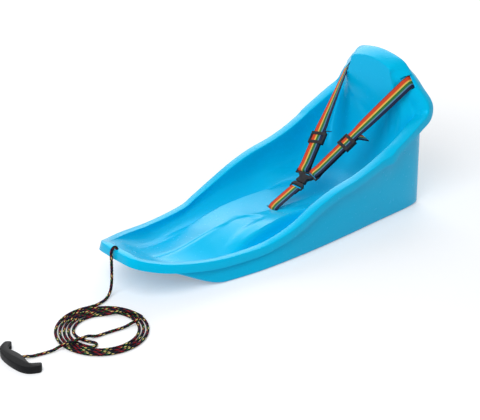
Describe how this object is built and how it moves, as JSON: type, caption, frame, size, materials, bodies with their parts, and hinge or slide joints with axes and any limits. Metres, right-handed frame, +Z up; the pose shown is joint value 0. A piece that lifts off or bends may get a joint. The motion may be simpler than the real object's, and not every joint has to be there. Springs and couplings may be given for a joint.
{
  "type": "baby pull sled",
  "caption": "Light blue moulded baby sled with a tall back rest, striped safety harness with a buckle, and a pull rope with a handle coiled before its toe.",
  "frame": {"origin": "middle of the sled's own box on the ground, the rope and its handle left out", "axes": "+Y from the toe to the back rest, +Z up from the ground, +X towards the rider's left"},
  "size_m": [0.3716, 1.2019, 0.366],
  "materials": {
    "shell": "glossy moulded polyethylene",
    "webbing": "woven striped webbing",
    "hardware": "satin moulded acetal",
    "rope": "braided cord with coloured flecks",
    "handle": "satin moulded plastic"
  },
  "bodies": {
    "sled": {"sled_shell": "shell", "left_shoulder_strap": "webbing", "right_shoulder_strap": "webbing", "left_strap_keeper": "hardware", "right_strap_keeper": "hardware", "buckle_socket": "hardware", "buckle_insert": "hardware", "crotch_strap": "webbing", "crotch_strap_keeper": "hardware", "rope_lead": "rope", "rope_coil": "rope", "rope_tail": "rope", "toe_knot": "rope", "handle_knot": "rope", "pull_handle": "handle"},
    "left_strap_slider_body": {"left_strap_slider": "hardware"},
    "right_strap_slider_body": {"right_strap_slider": "hardware"},
    "left_release_arm_body": {"left_release_arm": "hardware"},
    "right_release_arm_body": {"right_release_arm": "hardware"}
  },
  "joints": [
    {"name": "left_slider_travel", "type": "slide", "parent": "sled", "child": "left_strap_slider_body", "axis": [0.2526, 0.7334, 0.6311], "range_m": [-0.07, 0.003]},
    {"name": "right_slider_travel", "type": "slide", "parent": "sled", "child": "right_strap_slider_body", "axis": [-0.2526, 0.7334, 0.6311], "range_m": [-0.05, 0.003]},
    {"name": "left_release_squeeze", "type": "hinge", "parent": "sled", "child": "left_release_arm_body", "pos_m": [0.0084, 0.1312, 0.0891], "axis": [0, -0.5141, 0.8577], "range_deg": [0, 6], "stiffness_Nm_per_rad": 0.005},
    {"name": "right_release_squeeze", "type": "hinge", "parent": "sled", "child": "right_release_arm_body", "pos_m": [-0.0084, 0.1312, 0.0891], "axis": [0, 0.5141, -0.8577], "range_deg": [0, 6], "stiffness_Nm_per_rad": 0.005}
  ]
}
